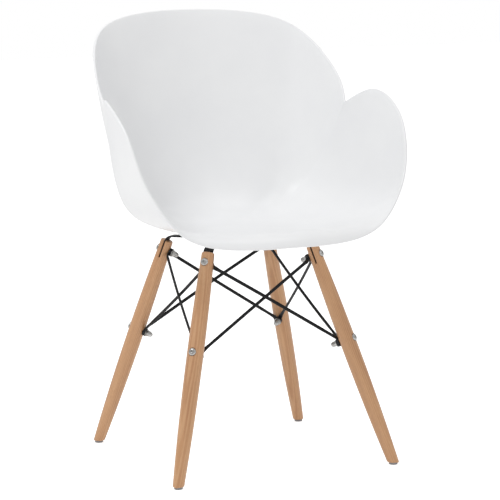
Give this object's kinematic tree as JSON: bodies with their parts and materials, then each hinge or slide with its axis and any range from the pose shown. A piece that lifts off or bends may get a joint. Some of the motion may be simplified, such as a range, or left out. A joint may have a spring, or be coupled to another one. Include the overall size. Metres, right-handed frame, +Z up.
{
  "type": "dining armchair",
  "caption": "Dining armchair: moulded plastic tub seat with rounded back and arm lobes, on splayed turned wooden legs tied by crossed black steel rods.",
  "frame": {"origin": "on the floor under the centre of the chair's overall width and depth, which is also where the cross of the base is centred", "axes": "+Z up, the sitter faces -Y, +X is the right-hand side seen from the front with the back away from the viewer"},
  "size_m": [0.556, 0.505, 0.836],
  "materials": {
    "shell_plastic": "satin moulded polypropylene, white",
    "leg_wood": "clear-lacquered beech",
    "black_steel": "satin black powder coat",
    "zinc_steel": "bright zinc plating",
    "glide_plastic": "grey nylon",
    "rubber": "black rubber",
    "brass": "plain brass"
  },
  "bodies": {
    "root": {"brace_rod_back_1": "black_steel", "brace_rod_back_2": "black_steel", "brace_rod_front_1": "black_steel", "brace_rod_front_2": "black_steel", "brace_rod_left_1": "black_steel", "brace_rod_left_2": "black_steel", "brace_rod_right_1": "black_steel", "brace_rod_right_2": "black_steel", "cross_arm_back_right": "black_steel", "cross_arm_front_left": "black_steel", "cross_bar_long": "black_steel", "glide_back_left": "glide_plastic", "glide_back_right": "glide_plastic", "glide_front_left": "glide_plastic", "glide_front_right": "glide_plastic", "leg_back_left": "leg_wood", "leg_back_right": "leg_wood", "leg_front_left": "leg_wood", "leg_front_right": "leg_wood", "lower_bolts": "zinc_steel", "lower_cap_nuts": "zinc_steel", "lower_washers": "zinc_steel", "rubber_pads": "rubber", "seat_inserts": "brass", "seat_screws": "zinc_steel", "seat_shell": "shell_plastic", "seat_spring_washers": "zinc_steel", "seat_washers": "zinc_steel", "upper_bolts": "zinc_steel", "upper_cap_nuts": "zinc_steel", "upper_washers": "zinc_steel"}
  },
  "joints": []
}
